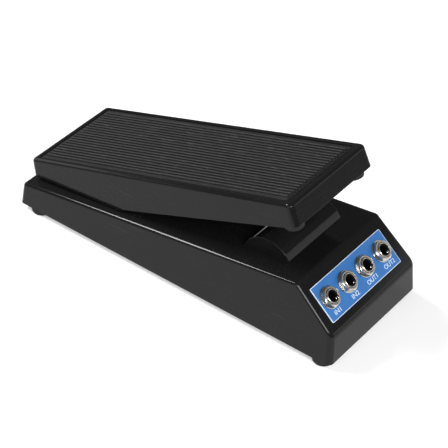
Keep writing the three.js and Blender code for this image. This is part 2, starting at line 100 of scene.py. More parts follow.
class Shader:
    """One material: its nodes, and the surface that they end in."""

    def __init__(self, name):
        self.material = bpy.data.materials.new(name)
        self.material.use_nodes = True
        self.tree = self.material.node_tree
        self.tree.nodes.clear()
        self.surface = self.tree.nodes.new("ShaderNodeBsdfPrincipled")
        output = self.tree.nodes.new("ShaderNodeOutputMaterial")
        self.tree.links.new(self.surface.outputs[0], output.inputs[0])

    def node(self, kind, settings=None, inputs=None, output=0):
        made = self.tree.nodes.new("ShaderNode" + kind)
        for name, setting in (settings or {}).items():
            if name == "stops":
                self.set_stops(made.color_ramp, setting)
            else:
                setattr(made, name, setting)
        for name, value in (inputs or {}).items():
            self.feed(made.inputs[name], value)
        return Value(self, made.outputs[output])

    def set_stops(self, ramp, stops):
        while len(ramp.elements) < len(stops):
            ramp.elements.new(0.5)
        for element, (place, grey) in zip(ramp.elements, stops):
            element.position = place
            element.color = (grey, grey, grey, 1)

    def feed(self, socket, value):
        if isinstance(value, Value):
            self.tree.links.new(value.socket, socket)
        else:
            socket.default_value = value

    def set(self, **inputs):
        for name, value in inputs.items():
            self.feed(self.surface.inputs[name.replace("_", " ")], value)

    def place(self, scale=(1, 1, 1), turn=(0, 0, 0)):
        coordinates = self.node("TexCoord", output=3)
        return self.node("Mapping", inputs={"Vector": coordinates, "Scale": scale, "Rotation": turn})

    def noise(self, size, detail=3, stretch=(1, 1, 1), turn=(0, 0, 0), roughness=0.5):
        scaled = {"Vector": self.place(stretch, turn), "Scale": 1 / size, "Detail": detail,
                  "Roughness": roughness}
        return self.node("TexNoise", inputs=scaled)

    def ramp(self, value, *stops):
        return self.node("ValToRGB", {"stops": stops}, {"Fac": value})

    def mix(self, factor, low, high):
        settings = {"data_type": "RGBA"}
        made = self.node("Mix", settings, {0: factor, 6: low, 7: high}, output=2)
        return made

    def bump(self, height, strength, distance):
        inputs = {"Height": height, "Strength": strength, "Distance": distance}
        return self.node("Bump", inputs=inputs)


def grey(level):
    return (level, level, level, 1)


# Radii of the floor's painted light and shade: full glow inside the first, painted grey shade and no
# glow beyond the second.
GLOW_RADIUS = 0.40
PAINTED_SHADE_RADIUS = 0.75


def studio_floor():
    shader = Shader("studio_floor")
    drift = shader.noise(0.6, detail=1)
    from_middle = shader.node("VectorMath", {"operation": "LENGTH"}, {0: shader.place()}, output=1)
    # Painted light and shade: a mask that runs from glowing and pale near the pedal to unlit painted
    # grey farther out.
    far = shader.ramp(from_middle, (GLOW_RADIUS, 0), (PAINTED_SHADE_RADIUS, 1))
    near_white = shader.mix(drift, grey(0.79), grey(0.82))
    # The floor's pale base turns to painted grey shade farther out, and its emission glows round the
    # pedal as painted light.
    shader.set(Base_Color=shader.mix(far, near_white, grey(0.45)), Roughness=0.9,
               Emission_Color=shader.mix(far, grey(1.0), grey(0.0)), Emission_Strength=0.30)
    clear_selection()
    bpy.ops.mesh.primitive_plane_add(size=8, location=(0, 0, -0.0004))
    floor = bpy.context.object
    floor.name = "studio_floor"
    floor.data.materials.append(shader.material)


def soft_box(name, place, aim_height, size, power):
    """A rectangular lamp that looks at the pedal's middle line, at the given height."""
    aim = Vector((0, 0, aim_height))
    light = bpy.data.lights.new(name, "AREA")
    light.shape = "RECTANGLE"
    light.size, light.size_y = size
    light.energy = power
    lamp = bpy.data.objects.new(name, light)
    lamp.matrix_world = Matrix.Translation(place) @ (
        (aim - Vector(place)).to_track_quat("-Z", "Y").to_matrix().to_4x4())
    bpy.context.scene.collection.objects.link(lamp)


studio_floor()
world = bpy.data.worlds.new("studio_surround")
world.use_nodes = True
world.node_tree.nodes["Background"].inputs["Color"].default_value = grey(1.0)
world.node_tree.nodes["Background"].inputs["Strength"].default_value = 0.15
bpy.context.scene.world = world
bpy.context.scene.view_settings.view_transform = "Standard"
soft_box("box_heel", (-0.95, -0.25, 1.14), 0.03, (0.8, 0.22), 20)
soft_box("box_toe", (1.09, -0.62, 1.0), 0.05, (1.1, 0.36), 20)
soft_box("box_near", (0.2, -1.5, 0.75), 0.04, (0.9, 0.6), 6)
soft_box("card_toe", (1.44, 1.28, 0.52), 0.08, (1.2, 0.8), 4.5)
soft_box("card_heel", (-1.75, -0.1, 0.72), 0.08, (1.7, 0.5), 6)


# Housing: one injection moulding in glossy black ABS, with a sloping deck, a raised hump over
# the potentiometer and a sloping jack panel. Its walls are 3 mm thick and drafted.
MM = 0.001
DECK_SLOPE = math.atan2(31.2, 219.5)
PANEL_SLOPE = math.atan2(25.2, 29.2)
HEEL_TOP = Vector((-124.6, 0, 20.8)) * MM
PANEL_RIDGE = Vector((94.9, 0, 52)) * MM
HOUSING_FOOT = 4 * MM
HOUSING_HEEL = -127.2 * MM
HOUSING_TOE = 127.4 * MM
HOUSING_HALF_WIDTH = 49.5 * MM
WALL_DRAFT = 0.08
HOUSING_WALL = 3 * MM
TOE_CORNER = 4
HEEL_CORNER = 2.5
TOP_FILLET = 2.2
HOUSING_BLANK = ((-132, -54, 4), (132, 54, 56))
HUMP_CENTRE = Vector((61.5, 0, 39.4)) * MM
HUMP_RADIUS = 19.2 * MM
HUMP_HALF_WIDTH = 29.1 * MM
JACK_DOWN = 20
JACK_ROW_Y = -1.8
JACK_PITCH = 19.3
JACK_ACROSS = [JACK_ROW_Y + step * JACK_PITCH for step in (-1.5, -0.5, 0.5, 1.5)]
HINGE_U = 75.16
HUMP_U = 187.97
FOOT_PLACES = {
    "heel_near": (-113.8, -42.3),
    "heel_far": (-113.8, 42.3),
    "toe_near": (117.8, -42.3),
    "toe_far": (117.8, 42.3),
}
COVER_SCREWS = {"near": (0, -39), "far": (0, 39)}
COVER_HALF = (123.6, 46.1)


def sloped(corner, climb):
    """A frame at a corner, its X axis climbing by an angle and its Z axis square to the slope."""
    return Matrix.Translation(corner) @ Matrix.Rotation(-climb, 4, "Y")


deck = sloped(HEEL_TOP, DECK_SLOPE)
panel = sloped(PANEL_RIDGE, -PANEL_SLOPE)


def named(name, place=None):
    """Names the new primitive and works its place into its mesh."""
    piece = bpy.context.object
    piece.name = name
    piece.data.name = name
    if place is not None:
        piece.matrix_world = place @ piece.matrix_world
    bpy.ops.object.transform_apply(location=True, rotation=True, scale=True)
    return piece


def cube(name, low, high, place=None):
    """A box from its lowest to its highest corner, in millimetres of the given frame."""
    clear_selection()
    middle = [(a + b) / 2 * MM for a, b in zip(low, high)]
    size = [(b - a) * MM for a, b in zip(low, high)]
    bpy.ops.mesh.primitive_cube_add(size=1, location=middle, scale=size)
    return named(name, place)


def round_bar(name, radius, z, place=None, sides=64, at=(0, 0)):
    """A cylinder along the frame's Z axis, in millimetres."""
    clear_selection()
    bpy.ops.mesh.primitive_cylinder_add(
        vertices=sides, radius=radius * MM, depth=(z[1] - z[0]) * MM,
        location=(at[0] * MM, at[1] * MM, (z[0] + z[1]) / 2 * MM))
    return named(name, place)


def edit(piece):
    clear_selection()
    bpy.context.view_layer.objects.active = piece
    piece.select_set(True)
    bpy.ops.object.mode_set(mode="EDIT")
    bpy.ops.mesh.select_mode(type="FACE")
    bpy.ops.mesh.select_all(action="DESELECT")


def done():
    bpy.ops.object.mode_set(mode="OBJECT")


def pick_faces(piece, wanted):
    """Selects the faces whose middle and normal pass the test."""
    bpy.ops.mesh.select_mode(type="FACE")
    bpy.ops.mesh.select_all(action="DESELECT")
    mesh = bmesh.from_edit_mesh(piece.data)
    for face in mesh.faces:
        face.select_set(bool(wanted(face.calc_center_median(), face.normal)))
    bmesh.update_edit_mesh(piece.data)


def pick_edges(piece, wanted):
    """Selects the edges whose middle, direction and fold angle pass the test."""
    bpy.ops.mesh.select_mode(type="EDGE")
    bpy.ops.mesh.select_all(action="DESELECT")
    mesh = bmesh.from_edit_mesh(piece.data)
    for edge in mesh.edges:
        ends = [v.co for v in edge.verts]
        middle = (ends[0] + ends[1]) / 2
        along = (ends[1] - ends[0]).normalized()
        fold = edge.calc_face_angle(0) if len(edge.link_faces) == 2 else 0
        edge.select_set(bool(wanted(middle, along, fold)))
    bmesh.update_edit_mesh(piece.data)


def round_edges(piece, wanted, radius, segments):
    edit(piece)
    pick_edges(piece, wanted)
    bpy.ops.mesh.bevel(offset=radius * MM, segments=segments, affect="EDGES", clamp_overlap=False)
    done()


def plane_down(piece, planes):
    """Cuts away whatever stands outside each plane, given as a point and an outward normal."""
    edit(piece)
    for point, outward in planes:
        bpy.ops.mesh.select_all(action="SELECT")
        bpy.ops.mesh.bisect(plane_co=point, plane_no=Vector(outward).normalized(),
                            use_fill=True, clear_outer=True)
    done()


def combine(piece, tool, operation):
    """Adds the tool to the piece or cuts it from it, and throws the tool away."""
    clear_selection()
    bpy.context.view_layer.objects.active = piece
    piece.select_set(True)
    joiner = piece.modifiers.new("join", "BOOLEAN")
    joiner.operation = operation
    joiner.solver = "EXACT"
    joiner.object = tool
    bpy.ops.object.modifier_apply(modifier=joiner.name)
    bpy.data.objects.remove(tool)


def finish_shape(piece, angle=30, weighted=True):
    """Cleans a shape, turns its faces outwards and lets its round faces shade as round."""
    edit(piece)
    bpy.ops.mesh.select_all(action="SELECT")
    bpy.ops.mesh.remove_doubles(threshold=2e-6)
    bpy.ops.mesh.normals_make_consistent(inside=False)
    done()
    bpy.ops.object.shade_smooth_by_angle(angle=math.radians(angle))
    if weighted:
        weights = piece.modifiers.new("weights", "WEIGHTED_NORMAL")
        weights.keep_sharp = True
        bpy.ops.object.modifier_apply(modifier=weights.name)


def fit_out(piece, body, shader, replaces=()):
    """Gives a finished piece its material, its body and the nodes it stands for."""
    piece.data.materials.clear()
    piece.data.materials.append(shader.material)
    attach(piece, body)
    if replaces:
        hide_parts(*replaces)


def drafted_walls(inset):
    """The housing's faces moved inwards by an inset: sides, heel, toe, deck and panel."""
    half = HOUSING_HALF_WIDTH - inset
    walls = [
        (Vector((0, -half, HOUSING_FOOT)), (0, -1, WALL_DRAFT)),
        (Vector((0, half, HOUSING_FOOT)), (0, 1, WALL_DRAFT)),
        (Vector((HOUSING_HEEL + inset, 0, HOUSING_FOOT)), (-1, 0, WALL_DRAFT)),
        (Vector((HOUSING_TOE - inset, 0, HOUSING_FOOT)), (1, 0, WALL_DRAFT)),
    ]
    for face in (deck, panel):
        up = (face.to_3x3() @ Vector((0, 0, 1))).normalized()
        walls.append((face.translation - up * inset, tuple(up)))
    return walls


def moulded_black(name, base, sheen, grain, scratches=1.0):
    """Glossy black ABS: faint mould texture, hairline scratches, smears and settled dust."""
    shader = Shader(name)
    peel = shader.noise(0.0028, detail=2)
    fine = shader.noise(0.00035, detail=2)
    smear = shader.noise(0.035, detail=4, roughness=0.6)
    long_hairs = shader.noise(0.0011, detail=1, stretch=(0.05, 1, 1), turn=(0, 0, 0.35))
    cross_hairs = shader.noise(0.0013, detail=1, stretch=(1, 0.06, 1), turn=(0, 0.3, -0.5))
    worn = shader.ramp(shader.noise(0.03, detail=2), (0.45, 0), (0.7, 1))
    hairs = (shader.ramp(long_hairs, (0.66, 0), (0.74, 1)) +
             shader.ramp(cross_hairs, (0.68, 0), (0.76, 1))) * worn * scratches
    dust = shader.ramp(shader.noise(0.0009, detail=0), (0.72, 0), (0.80, 1))
    tone = shader.mix(smear, grey(base * 0.85), grey(base * 1.15))
    tone = shader.mix(hairs * 0.06, tone, grey(0.18))
    tone = shader.mix(dust * 0.03, tone, grey(0.30))
    gloss = sheen + smear * 0.03 + hairs * 0.10 + fine * 0.02
    height = peel * 0.6 + fine * 0.4 - hairs * 0.25
    shader.set(Base_Color=tone, Roughness=gloss, Normal=shader.bump(height, 0.3, grain * MM),
               Specular_IOR_Level=0.15)
    return shader


def upright(middle, along, fold):
    return fold > 0.5 and abs(along.z) > 0.8


def screw_posts():
    """The posts under the deck that take the screws, as one mesh."""
    posts = [round_bar("post", 4, (6.3, 60), at=at)
             for at in (*FOOT_PLACES.values(), *COVER_SCREWS.values())]
    posts += [round_bar("post", 4.5, (-13, -2), deck, at=(HINGE_U, y)) for y in (-12, 12)]
    posts += [round_bar("post", 4, (-9, -2), deck, at=(HUMP_U + x, 14)) for x in (-24, 24)]
    clear_selection()
    for post in posts:
        post.select_set(True)
    bpy.context.view_layer.objects.active = posts[0]
    bpy.ops.object.join()
    plane_down(posts[0], drafted_walls(HOUSING_WALL / 2))
    return posts[0]


def housing():
    body = cube("housing", *HOUSING_BLANK)
    plane_down(body, drafted_walls(0))
    round_edges(body, lambda m, along, fold: upright(m, along, fold) and m.x > 0, TOE_CORNER, 7)
    round_edges(body, lambda m, along, fold: upright(m, along, fold) and m.x < 0, HEEL_CORNER, 6)
    round_edges(body, lambda m, along, fold: fold > 0.3 and m.z > 12 * MM, TOP_FILLET, 6)
    round_edges(body, lambda m, along, fold: m.z < 4.5 * MM and fold > 1, 0.4, 2)
    across = Matrix.Translation(HUMP_CENTRE) @ Matrix.Rotation(math.radians(-90), 4, "X")
    half = HUMP_HALF_WIDTH / MM
    hump = round_bar("hump", HUMP_RADIUS / MM, (-half, half), across, sides=160)
    round_edges(hump, lambda m, along, fold: fold > 1, 0.5, 3)
    combine(body, hump, "UNION")
    cavity = cube("cavity", (-132, -54, -20), (132, 54, 60))
    plane_down(cavity, drafted_walls(HOUSING_WALL))
    round_edges(cavity, upright, 1, 3)
    combine(body, cavity, "DIFFERENCE")
    hollow = round_bar("hollow", HUMP_RADIUS / MM - 3, (3 - half, half - 3), across, sides=64)
    combine(body, hollow, "DIFFERENCE")
    combine(body, screw_posts(), "UNION")
    combine(body, cube("slot", (43.2, -3.2, 36), (56.6, 3.2, 62)), "DIFFERENCE")
    for y in JACK_ACROSS:
        hole = round_bar("hole", 4.95, (-6, 1), panel, sides=48, at=(JACK_DOWN, y))
        combine(body, hole, "DIFFERENCE")
    for at in (*FOOT_PLACES.values(), *COVER_SCREWS.values()):
        combine(body, round_bar("pilot", 1.5, (5, 15), sides=20, at=at), "DIFFERENCE")
    for y in (-12, 12):
        pilot = round_bar("pilot", 1.5, (-11, 1), deck, sides=20, at=(HINGE_U, y))
        combine(body, pilot, "DIFFERENCE")
    finish_shape(body)
    return body


housing_black = moulded_black("housing_black", base=0.009, sheen=0.05, grain=0.014)
fit_out(housing(), "base", housing_black, ["base_housing"])

# Bottom cover: 2 mm zinc-plated sheet steel with two shallow pressed panels that stiffen it.
# Two screws at its waist and the four foot screws hold it to posts inside the housing.
def zinc_steel(name, base, rough, drawn=(1, 1, 1)):
    """Zinc-plated steel: soft cloudy tarnish over a fine rolled grain."""
    shader = Shader(name)
    cloud = shader.noise(0.012, detail=3, roughness=0.6)
    rolled = shader.noise(0.0005, detail=2, stretch=drawn)
    dull = (base * 0.86, base * 0.9, base * 0.95, 1)
    tint = shader.mix(cloud, dull, (base, base * 1.01, base, 1))
    shader.set(Base_Color=tint, Metallic=1.0, Roughness=rough + cloud * 0.12 + rolled * 0.06,
               Normal=shader.bump(rolled, 0.25, 0.02 * MM))
    return shader


def turn_over(place):
    return place @ Matrix.Rotation(math.pi, 4, "X")


def spot(x, y, z, place=None):
    """A frame moved along its own axes, in millimetres."""
    return (place or Matrix()) @ Matrix.Translation(Vector((x, y, z)) * MM)


def spun(name, outline, place=None, steps=48):
    """Spins an outline of (radius, height) points, in millimetres, round the frame's Z axis."""
    clear_selection()
    bpy.ops.mesh.primitive_plane_add(size=MM)
    bpy.ops.object.mode_set(mode="EDIT")
    bpy.ops.mesh.select_mode(type="VERT")
    bpy.ops.mesh.select_all(action="SELECT")
    bpy.ops.mesh.merge(type="CENTER")
    here = Vector((0, 0))
    for i, point in enumerate(outline):
        step = (Vector(point) - here) * MM
        here = Vector(point)
        move = {"value": (step.x, 0, step.y)}
        if i == 0:
            bpy.ops.transform.translate(**move)
        else:
            bpy.ops.mesh.extrude_vertices_move(TRANSFORM_OT_translate=move)
    bpy.ops.mesh.select_all(action="SELECT")
    bpy.ops.mesh.spin(steps=steps, angle=2 * math.pi, center=(0, 0, 0), axis=(0, 0, 1))
    bpy.ops.mesh.select_all(action="SELECT")
    bpy.ops.mesh.remove_doubles(threshold=2e-6)
    bpy.ops.mesh.normals_make_consistent(inside=False)
    done()
    return named(name, place)


def threaded(radius, depth, pitch, start, end):
    """Outline points of a thread, shown as rings, from one height down or up to another."""
    turns = round(abs(end - start) / pitch)
    rise = (end - start) / turns
    points = []
    for turn in range(turns):
        low = start + turn * rise
        points += [(radius - depth, low), (radius, low + rise * 0.4), (radius, low + rise * 0.6)]
    return [*points, (radius - depth, end)]


def tapping_screw(head, length):
    """A pan-head screw with a cross recess, its seat at Z = 0 and its shank pointing down."""
    outline = [(0, 1.7), (head * 0.5, 1.64), (head * 0.82, 1.3), (head * 0.97, 0.75), (head, 0.3),
               (head * 0.95, 0), (1.1, 0), *threaded(1.5, 0.35, 0.9, -0.6, 1.4 - length),
               (0.5, 0.3 - length), (0, -length)]
    screw = spun("screw", outline, steps=28)
    for low, high in (((-1.5, -0.3, 0.7), (1.5, 0.3, 3)), ((-0.3, -1.5, 0.7), (0.3, 1.5, 3))):
        combine(screw, cube("recess", low, high), "DIFFERENCE")
    finish_shape(screw)
    return screw


def copies(master, places):
    """Copies a finished shape to each named place, every copy with its own mesh."""
    made = []
    for name, place in places.items():
        piece = master.copy()
        piece.data = master.data.copy()
        piece.name = piece.data.name = name
        piece.data.transform(place)
        bpy.context.scene.collection.objects.link(piece)
        made.append(piece)
    bpy.data.objects.remove(master)
    return made


def fit_screws(head, length, body, places):
    made = copies(tapping_screw(head, length), {"fitted_" + node: at for node, at in places.items()})
    for screw, node in zip(made, places):
        fit_out(screw, body, screw_steel, [node])


def bottom_cover():
    x, y = COVER_HALF
    cover = cube("cover_plate", (-x, -y, 4.1), (x, y, 6.1))
    round_edges(cover, lambda m, along, fold: abs(along.z) > 0.9, 3, 5)
    round_edges(cover, lambda m, along, fold: fold > 1 and abs(along.z) < 0.5, 0.3, 2)
    for low, high in ((-98, -12), (12, 98)):
        pressing = cube("pressing", (low, -30, 0), (high, 30, 4.8))
        round_edges(pressing, lambda m, along, fold: abs(along.z) > 0.9, 6, 6)
        round_edges(pressing, lambda m, along, fold: m.z > 4.7 * MM and fold > 1, 0.6, 3)
        combine(cover, pressing, "DIFFERENCE")
    for at in (*FOOT_PLACES.values(), *COVER_SCREWS.values()):
        combine(cover, round_bar("hole", 1.7, (3, 7), sides=28, at=at), "DIFFERENCE")
    finish_shape(cover)
    return cover


screw_steel = zinc_steel("screw_steel", base=0.55, rough=0.24)
sheet_steel = zinc_steel("sheet_steel", base=0.48, rough=0.30, drawn=(0.05, 1, 1))
fit_out(bottom_cover(), "base", sheet_steel, ["bottom_cover"])
fit_screws(2.6, 9, "base", {
    "cover_screw_" + side: turn_over(spot(x, y, 4)) for side, (x, y) in COVER_SCREWS.items()})


# Feet: four turned rubber pads with a sunk screw hole. They stand a little proud of the cover
# at the corners, and their screws also hold the cover on.
def black_rubber(name):
    shader = Shader(name)
    grain = shader.noise(0.0004, detail=3)
    bloom = shader.noise(0.006, detail=3, roughness=0.65)
    tone = shader.mix(shader.ramp(bloom, (0.45, 0), (0.75, 1)), grey(0.006), grey(0.014))
    shader.set(Base_Color=tone, Roughness=0.62 + bloom * 0.2, Specular_IOR_Level=0.3,
               Normal=shader.bump(grain, 0.5, 0.04 * MM))
    return shader


rubber = black_rubber("foot_rubber")
foot_outline = [(1.7, 2.3), (3.6, 2.3), (3.7, 0.3), (4.0, 0), (6.2, 0), (6.8, 0.25), (7.1, 0.8),
                (7.2, 1.5), (7.2, 3.2), (7.0, 3.7), (6.6, 3.9), (1.7, 3.9), (1.7, 2.3)]
foot_pad = spun("foot_pad", foot_outline, steps=64)
finish_shape(foot_pad, angle=40)
for pad in copies(foot_pad, {"pad_" + end: spot(x, y, 0) for end, (x, y) in FOOT_PLACES.items()}):
    fit_out(pad, "base", rubber, [pad.name.replace("pad_", "foot_")])
fit_screws(2.9, 11, "base", {
    "foot_screw_" + end: turn_over(spot(x, y, 2.2)) for end, (x, y) in FOOT_PLACES.items()})


# Jack label: a thin blue plate, screen printed with a pale keyline and the four jack names,
# held flat against the panel by the jack nuts.
def printed_blue():
    shader = Shader("label_blue")
    patch = shader.noise(0.012, detail=3, roughness=0.6)
    speck = shader.noise(0.0007, detail=2)
    tone = shader.mix(patch, (0.024, 0.138, 0.41, 1), (0.034, 0.174, 0.49, 1))
    tone = shader.mix(speck * 0.25, tone, (0.045, 0.185, 0.46, 1))
    shader.set(Base_Color=tone, Roughness=0.30 + patch * 0.12, Specular_IOR_Level=0.4,
               Normal=shader.bump(speck, 0.2, 0.015 * MM))
    return shader


def pale_ink():
    shader = Shader("pale_ink")
    thin = shader.noise(0.0009, detail=3, roughness=0.65)
    tone = shader.mix(shader.ramp(thin, (0.30, 0), (0.52, 1)),
                      (0.38, 0.55, 0.80, 1), (0.70, 0.80, 0.92, 1))
    shader.set(Base_Color=tone, Roughness=0.38)
    return shader


LABEL_DOWN = (8.2, 33.8)
LABEL_MIDDLE = -1.2
LABEL_HALF = 38.5
KEYLINE = 0.3


def label_plate():
    plate = cube("jack_label", (LABEL_DOWN[0], LABEL_MIDDLE - LABEL_HALF, 0.1),
                 (LABEL_DOWN[1], LABEL_MIDDLE + LABEL_HALF, 0.7))
    round_edges(plate, lambda m, along, fold: abs(along.z) > 0.9, 0.8, 4)
    round_edges(plate, lambda m, along, fold: m.z > 0.6 * MM and fold > 1, 0.12, 2)
    edit(plate)
    pick_faces(plate, lambda m, normal: normal.z > 0.99 and m.z > 0.6 * MM)
    bpy.ops.mesh.inset(thickness=KEYLINE * MM)
    bpy.ops.mesh.select_all(action="INVERT")
    plate.data.materials.append(printed_blue().material)
    plate.data.materials.append(ink.material)
    plate.active_material_index = 1
    bpy.ops.object.material_slot_assign()
    done()
    for y in JACK_ACROSS:
        combine(plate, round_bar("hole", 5.1, (-1, 2), sides=48, at=(JACK_DOWN, y)), "DIFFERENCE")
    finish_shape(plate, weighted=False)
    plate.data.transform(panel)
    return plate


NAME_HEIGHT = 4.3
NAME_DOWN = 31.3


def jack_name(words, start, width):
    """One printed name: it reads along +Y, with its capitals' tops towards the ridge."""
    clear_selection()
    bpy.ops.object.text_add()
    text = bpy.context.object
    text.data.body = words
    text.data.size = NAME_HEIGHT * MM
    text.data.extrude = 0.03 * MM
    text.data.offset = 0.02 * MM
    bpy.ops.object.convert(target="MESH")
    mark = named("name_" + words.lower())
    mark.data.transform(Matrix.Diagonal((width * MM / mark.dimensions.x, 1, 1, 1)))
    mark.data.transform(
        spot(NAME_DOWN, start, 0.72, panel) @ Matrix.Rotation(math.radians(90), 4, "Z"))
    return mark


ink = pale_ink()
blue_plate = label_plate()
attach(blue_plate, "base")
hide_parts("label_plate")
for words, start, width in (("IN1", -34.4, 6.2), ("IN2", -15.1, 7.2), ("OUT1", 2.4, 10.6),
                            ("OUT2", 21.9, 11.0)):
    fit_out(jack_name(words, start, width), "base", ink)


# Jacks: nickel-plated phone sockets. A threaded sleeve comes up through the panel and label,
# and a washer and a chamfered hex nut clamp it; the black moulded frame stays inside.
BORE = 3.2
SLEEVE_RADIUS = 4.75


def plated_metal(name, base, rough):
    """Bright plating: a warm tint, fine turned rings' worth of grain and cloudy handling marks."""
    shader = Shader(name)
    cloud = shader.noise(0.0035, detail=3, roughness=0.6)
    grain = shader.noise(0.0004, detail=2)
    tint = shader.mix(cloud, tuple(c * 0.82 for c in base) + (1,), tuple(base) + (1,))
    shader.set(Base_Color=tint, Metallic=1.0, Roughness=rough + cloud * 0.14,
               Normal=shader.bump(grain, 0.3, 0.012 * MM))
    return shader


def matt_moulding(name, colour, rough):
    shader = Shader(name)
    grain = shader.noise(0.0006, detail=3)
    tone = shader.mix(grain, tuple(c * 0.8 for c in colour) + (1,), tuple(colour) + (1,))
    shader.set(Base_Color=tone, Roughness=rough, Normal=shader.bump(grain, 0.4, 0.03 * MM))
    return shader


def jack_sleeve():
    outline = [(4.0, -7), (4.45, -7), *threaded(SLEEVE_RADIUS, 0.3, 0.8, -6.6, 4.2),
               (4.6, 4.3), (4.75, 4.5), (4.73, 4.85), (4.6, 5.1), (4.4, 5.2), (4.15, 5.12),
               (4.0, 4.9), (4.0, -7)]
    sleeve = spun("sleeve", outline, steps=64)
    finish_shape(sleeve, angle=35, weighted=False)
    return sleeve


def jack_washer():
    outline = [(4.95, 0.8), (7.3, 0.8), (7.5, 0.95), (7.5, 1.6), (7.3, 1.8), (5.2, 1.8),
               (4.95, 1.6), (4.95, 0.8)]
    washer = spun("washer", outline, steps=64)
    finish_shape(washer, angle=35, weighted=False)
    return washer


def jack_nut():
    nut = round_bar("nut", 7.3, (1.9, 4.4), sides=6)
    round_edges(nut, lambda m, along, fold: abs(along.z) > 0.9, 0.4, 3)
    chamfers = [(0, 1.9), (6.6, 1.9), (7.3, 2.3), (7.3, 3.5), (6.1, 4.4), (0, 4.4)]
    combine(nut, spun("chamfers", chamfers, steps=48), "INTERSECT")
    thread = [(0, 1.5), *threaded(5.15, 0.3, 0.8, 1.5, 3.8), (5.9, 4.9), (0, 4.9)]
    combine(nut, spun("thread", thread, steps=48), "DIFFERENCE")
    finish_shape(nut, angle=25)
    return nut


def jack_frame():
    """The moulded frame with a nose that lines the sleeve, drilled for the plug."""
    frame_block = cube("jack_frame", (-6.5, -5.2, -25.4), (6.5, 5.2, -7.3))
    round_edges(frame_block, lambda m, along, fold: fold > 1, 0.7, 3)
    collar = cube("collar", (-6.5, -5.2, -7.5), (6.5, 5.2, -3.1))
    round_edges(collar, lambda m, along, fold: abs(along.z) > 0.9, 0.7, 3)
    combine(collar, round_bar("pocket", 4.85, (-7.2, -3), sides=40), "DIFFERENCE")
    combine(frame_block, collar, "UNION")
    combine(frame_block, round_bar("nose", 3.95, (-8, 4.5), sides=48), "UNION")
    combine(frame_block, round_bar("bore", BORE, (-22, 6), sides=48), "DIFFERENCE")
    finish_shape(frame_block, weighted=False)
    return frame_block


def jack_contact():
    """The tip of a sprung contact leaf, which bulges into the bore just below the rim."""
    leaf = round_bar("contact", 1.1, (-1.6, 1.6), sides=28)
    round_edges(leaf, lambda m, along, fold: fold > 1, 0.7, 4)
    finish_shape(leaf, angle=50)
    return leaf


jack_places = [spot(JACK_DOWN, y, 0, panel) for y in JACK_ACROSS]
NUT_TURNS = (8, 31, 17, 44)
CONTACT_TURN = 38
CONTACT_REACH = 0.35
CONTACT_HEIGHT = 2.9
nickel = plated_metal("nickel_plate", base=(0.66, 0.63, 0.57), rough=0.12)
jack_black = matt_moulding("jack_black", (0.004, 0.004, 0.004), 0.6)
jack_black.set(Specular_IOR_Level=0.12)
for shape, part_name, slot, shader in (
        (jack_sleeve, "sleeve", "nickel", nickel), (jack_washer, "washer", "nickel", nickel),
        (jack_nut, "nut", "nickel", nickel), (jack_frame, "body", "jack_plastic", jack_black),
        (jack_contact, "contact", "nickel", nickel)):
    turns = NUT_TURNS if part_name == "nut" else (0, 0, 0, 0)
    reach = spot(BORE + CONTACT_REACH, 0, CONTACT_HEIGHT) if part_name == "contact" else Matrix()
    lean = CONTACT_TURN if part_name == "contact" else 0
    places = {}
    for number, (place, turn) in enumerate(zip(jack_places, turns), 1):
        spin = Matrix.Rotation(math.radians(turn + lean), 4, "Z")
        places[f"socket_{number}_{part_name}"] = place @ spin @ reach
    for piece in copies(shape(), places):
        stands_for = piece.name.replace("socket", "jack")
        fit_out(piece, "base", shader, [] if part_name == "contact" else [stands_for])


# Jack board: a fibreglass board soldered across the tails of the four jacks, green masked,
# with a row of plated holes behind each jack.
def green_board():
    shader = Shader("board_green")
    weave = shader.noise(0.0006, detail=2, stretch=(1, 0.4, 1))
    tracks = shader.node("TexWave", {"wave_type": "BANDS", "bands_direction": "Y"},
                         {"Vector": shader.place(), "Scale": 150.0, "Distortion": 3.0, "Detail": 1.0,
                          "Detail Scale": 2.0}, output=1)
    trace = shader.ramp(tracks, (0.80, 0), (0.86, 1))
    tone = shader.mix(trace, (0.012, 0.10, 0.045, 1), (0.03, 0.20, 0.085, 1))
    shader.set(Base_Color=tone, Roughness=0.35 + weave * 0.15,
               Normal=shader.bump(trace * 0.7 + weave * 0.3, 0.4, 0.03 * MM))
    return shader


def jack_board():
    board = cube("circuit_board", (8, JACK_ROW_Y - 37, -27.2), (32.2, JACK_ROW_Y + 37, -25.6))
    round_edges(board, lambda m, along, fold: abs(along.z) > 0.9, 1.5, 4)
    for y in JACK_ACROSS:
        for s, aside in ((15, -3), (15, 3), (25, -3), (25, 3)):
            hole = round_bar("hole", 0.8, (-28, -25), sides=16, at=(s, y + aside))
            combine(board, hole, "DIFFERENCE")
    finish_shape(board)
    board.data.transform(panel)
    return board


fit_out(jack_board(), "base", green_board(), ["jack_board"])


# Hinge bracket: a U pressed from 2.5 mm zinc-plated steel, screwed down through the deck.
# Its two ears carry the rocking shaft.
PIVOT = Vector((-51.9, 0, 43.4)) * MM
EAR_INNER = 21.6
EAR_OUTER = 24.1


def cross_axis(x, z):
    """A frame whose Z axis runs along +Y through the given point of the side view."""
    return spot(x, 0, z) @ Matrix.Rotation(math.radians(-90), 4, "X")


pivot_axis = cross_axis(PIVOT.x / MM, PIVOT.z / MM)
hinge_deck = spot(HINGE_U, 0, 0, deck)


